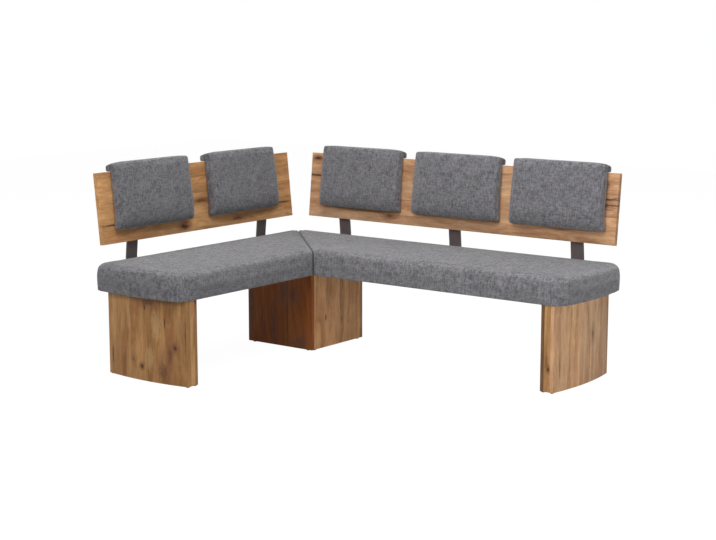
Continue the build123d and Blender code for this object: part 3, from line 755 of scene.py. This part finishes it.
def rounded(points, radii, steps=7):
    """Closed outline with each corner turned into an arc."""
    made = []
    count = len(points)
    for index, radius in enumerate(radii):
        here = Vector(points[index])
        before = (Vector(points[index - 1]) - here).normalized()
        after = (Vector(points[(index + 1) % count]) - here).normalized()
        half = before.angle(after) / 2
        run = radius / math.tan(half)
        centre = here + (before + after).normalized() * (radius / math.sin(half))
        start = here + before * run - centre
        stop = here + after * run - centre
        turn = math.atan2(start.x * stop.y - start.y * stop.x, start.dot(stop))
        for step in range(steps + 1):
            made.append(centre + Matrix.Rotation(turn * step / steps, 2) @ start)
    return made


def head_outline(inset):
    """Section of a cushion: back, underside, front face, rounded head and the fold behind it."""
    top = panel_tall + head_rise - inset
    low = hang_low + inset
    front = pad_thick - inset
    rest = panel_tall + 0.0012 + inset * 0.3
    rear = -fold_deep + inset * 0.6
    corners = [
        (slack + inset * 0.4, low), (front, low), (front, top), (0.002, top - 0.004),
        (rear, top - 0.012), (rear, rest), (slack + inset * 0.4, rest),
    ]
    return rounded(corners, (0.004, 0.011, 0.013, 0.020, 0.009, 0.004, 0.002))


def shape_cushion(points, half):
    """Seats a swollen cushion on the panel, gives it a low belly and creases both ends of its head."""
    along, before, up = points.T
    behind = (before < slack) & (up < panel_tall + slack)
    onto_edge = behind & (up > panel_tall - 0.008)
    up[onto_edge] = panel_tall + slack
    before[behind & ~onto_edge] = slack
    share = (up - hang_low) / (panel_tall + head_rise - hang_low)
    tuck = 0.34 * np.clip(1.0 - share / belly, 0.0, 1.1) ** 2
    slope = 0.26 * np.clip((share - belly) / (1.0 - belly), 0.0, 1.1) ** 1.5
    to_side = np.clip(1.0 - (half - np.abs(along)) / side_reach, 0.0, 1.0)
    thinner = 1.06 - tuck - slope - 0.12 * to_side ** 2
    before[:] = np.where(before > slack, slack + (before - slack) * thinner, before)
    crease = np.exp(-((before - 0.001) / crease_wide) ** 2)
    crease *= np.clip((up - panel_tall) / crease_soft, 0.0, 1.0)
    crease *= np.clip((panel_tall + head_rise - 0.003 - up) / crease_soft, 0.0, 1.0)
    roll = np.exp(-((before + 0.014) / 0.008) ** 2)
    to_foot = np.clip(1.0 - (up - hang_low) / foot_reach, 0.0, 1.0)
    outward = roll_out * roll - crease_deep * crease + foot_flare * to_foot
    near_end = np.clip((np.abs(along) - (half - end_reach)) / end_blend, 0.0, 1.0)
    along += np.sign(along) * near_end * outward
    draw = 1.0 - ((up - (panel_tall + hang_low) / 2) / 0.15) ** 2
    along *= 1.0 - waist * np.clip(draw, 0.0, 1.0)


def sew_cushion(wing, number):
    """Pad and head in one sewn form, swollen by its filling, with the flap behind it."""
    body = f"cushion_{wing}_{number}"
    low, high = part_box(f"{body}_pad")
    middle = (low.x + high.x) / 2 if wing == "long" else (low.y + high.y) / 2
    half = ((high.x - low.x) if wing == "long" else (high.y - low.y)) / 2
    reach = half - 0.001
    turns = [step / 6 * math.pi / 2 for step in range(7)]
    side = [(reach - side_round + side_round * math.cos(turn), side_round * (1 - math.sin(turn)))
            for turn in turns]
    side += [(reach * share, 0.0) for share in (0.8, 0.6, 0.4, 0.2)]
    stations = [(-distance, inset) for distance, inset in side] + [(0.0, 0.0)]
    stations += reversed(side)
    rings = [[(along, point.x, point.y) for point in head_outline(inset)] for along, inset in stations]
    cushion = skin_rings(body, rings)
    even_mesh(cushion, cushion_voxel)
    puff(cushion, fill_pressure, cushion_swell)
    soften(cushion)
    points = rows_of(cushion.data, "co")
    shape_cushion(points, half)
    cushion.data.vertices.foreach_set("co", on_panel(points, wing, middle).ravel())
    cushion.data.update()
    cushion.data.materials.append(cover_fabric[wing])
    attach(cushion, body)
    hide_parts(f"{body}_pad", f"{body}_fold")
    hang_flap(wing, body, middle, half)


flap_inset = 0.044
flap_thick = 0.004
flap_drop = 0.106
flap_corner = 0.020
flap_hem = 0.006
flap_steps = 18
flap_columns = 41


def hang_flap(wing, body, middle, half):
    """Double layer of cloth from inside the fold down behind the panel, with sewn rounded corners."""
    wide = half - flap_inset
    depth = -panel_thick - slack - flap_thick / 2
    levels = [panel_tall + 0.004]
    levels += [panel_tall - 0.002 - flap_drop * step / flap_steps for step in range(flap_steps + 1)]
    rows, columns = len(levels), flap_columns
    points, faces = [], []
    for layer in (-1, 1):
        for row, up in enumerate(levels):
            to_end = (rows - 1 - row) * flap_drop / flap_steps
            tuck = flap_corner - math.sqrt(flap_corner ** 2 - max(flap_corner - to_end, 0.0) ** 2)
            for column in range(columns):
                side = column / (columns - 1) * 2 - 1
                edge = min((1 - abs(side)) * wide / flap_hem, to_end / flap_hem + 0.25, 1.0)
                thick = flap_thick / 2 * (0.45 + 0.55 * math.sqrt(edge))
                wave = 0.0012 * math.sin(side * 9.0 + 1.3) * min(1.0, max(0, row - 8) / 10)
                points.append(((wide - tuck) * side, depth + layer * thick + min(wave, 0.0), up))
    for layer in (0, 1):
        base = layer * rows * columns
        for row in range(rows - 1):
            for column in range(columns - 1):
                at = base + row * columns + column
                quad = (at, at + 1, at + 1 + columns, at + columns)
                faces.append(quad if layer else tuple(reversed(quad)))
    rim = [(0, column) for column in range(columns)]
    rim += [(row, columns - 1) for row in range(1, rows)]
    rim += [(rows - 1, column) for column in reversed(range(columns - 1))]
    rim += [(row, 0) for row in reversed(range(1, rows - 1))]
    for index, (row, column) in enumerate(rim):
        following_row, following_column = rim[(index + 1) % len(rim)]
        first = row * columns + column
        second = following_row * columns + following_column
        faces.append((first, second, second + rows * columns, first + rows * columns))
    flap = piece_from(f"{body}_hanging_flap", on_panel(np.array(points), wing, middle), faces)
    face_outward(flap)
    flap.data.materials.append(cover_fabric[wing])
    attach(flap, body)
    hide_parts(f"{body}_flap")


for wing, count in (("long", 3), ("short", 2)):
    for number in range(1, count + 1):
        sew_cushion(wing, number)

# Floor: a plain white studio sweep, nearly shadowless, which bounces light up under the bench.
# Only what the camera sees of it is lifted to white; it lights the bench as a pale matt floor.
def seen_rays(tree):
    """One for what the camera sees, straight, mirrored or through something clear, else nought."""
    rays = place(tree, "LightPath").outputs
    bent = calc(tree, "MAXIMUM", rays["Is Glossy Ray"], rays["Is Transmission Ray"])
    return calc(tree, "MAXIMUM", rays["Is Camera Ray"], bent)


floor_half = 9.0
floor_mesh = piece_from("studio_floor", [
    (-floor_half, -floor_half, 0.0), (floor_half, -floor_half, 0.0),
    (floor_half, floor_half, 0.0), (-floor_half, floor_half, 0.0)], [(0, 1, 2, 3)])
floor_white, tree, shader, where = new_material("studio_white")
shade = cloud(tree, stretch(tree, where, (3.0, 3.0, 3.0)), 2.0)
pale_grey = blend_colour(tree, shade, (0.50, 0.50, 0.50, 1), (0.54, 0.54, 0.54, 1))
tree.links.new(pale_grey, shader.inputs["Base Color"])
shader.inputs["Roughness"].default_value = 0.9
glow = place(tree, "Emission", {"Color": (1.0, 1.0, 1.0, 1), "Strength": 1.16})
lift = calc(tree, "MULTIPLY", seen_rays(tree), 0.84)
lifted = place(tree, "MixShader", {0: lift, 1: shader.outputs[0], 2: glow.outputs[0]})
tree.links.new(lifted.outputs[0], tree.nodes["Material Output"].inputs["Surface"])
floor_mesh.data.materials.append(floor_white)

# Studio light: a very large soft box overhead, one in front, one high behind, and two small
# ones on the right. A faint sky fills the rest; it shows white to the camera and in reflections.
def soft_box(name, place_at, aim, size, power):
    """Square area lamp that points at a spot."""
    lamp = bpy.data.lights.new(name, "AREA")
    lamp.shape = "SQUARE"
    lamp.size = size
    lamp.energy = power
    made = bpy.data.objects.new(name, lamp)
    bpy.context.scene.collection.objects.link(made)
    made.location = place_at
    made.rotation_euler = (Vector(aim) - Vector(place_at)).to_track_quat("-Z", "Y").to_euler()


soft_box("ceiling_box", (0.4, -0.5, 4.2), (0.1, 0.1, 0.4), 4.4, 152.0)
soft_box("front_box", (0.0, -5.2, 3.4), (0.1, 0.1, 0.4), 2.4, 151.0)
soft_box("back_box", (0.9, 3.0, 4.2), (0.3, 0.3, 0.4), 2.2, 54.0)
soft_box("right_box", (0.9, -1.2, 2.3), (0.55, 0.3, 0.65), 1.0, 15.0)
soft_box("side_box", (2.6, -0.6, 0.5), (0.1, 0.3, 0.4), 0.8, 14.5)
world = bpy.data.worlds.new("studio_sky")
bpy.context.scene.world = world
world.use_nodes = True
tree = world.node_tree
sky = tree.nodes["Background"]
sky.inputs["Color"].default_value = (1.0, 1.0, 1.0, 1)
tree.links.new(fade(tree, seen_rays(tree), 0.0, 1.0, 0.02, 1.0), sky.inputs["Strength"])

# Camera: level with a standing viewer, looking into the bench's inner corner from the open side.
# Its lens and place are those of the photographed view of 716 by 540 pixels.
view_turn = 37.25
view_dip = 9.40
view_lens = 78.0
view_place = (3.9651, -5.2134, 1.535)
lens = bpy.data.cameras.new("bench_camera")
lens.sensor_width = 36.0
lens.lens = view_lens
lens.clip_end = 60.0
camera = bpy.data.objects.new("bench_camera", lens)
bpy.context.scene.collection.objects.link(camera)
camera.location = view_place
camera.rotation_euler = (math.radians(90.0 - view_dip), 0.0, math.radians(view_turn))
bpy.context.scene.camera = camera
bpy.context.scene.view_settings.view_transform = "Standard"
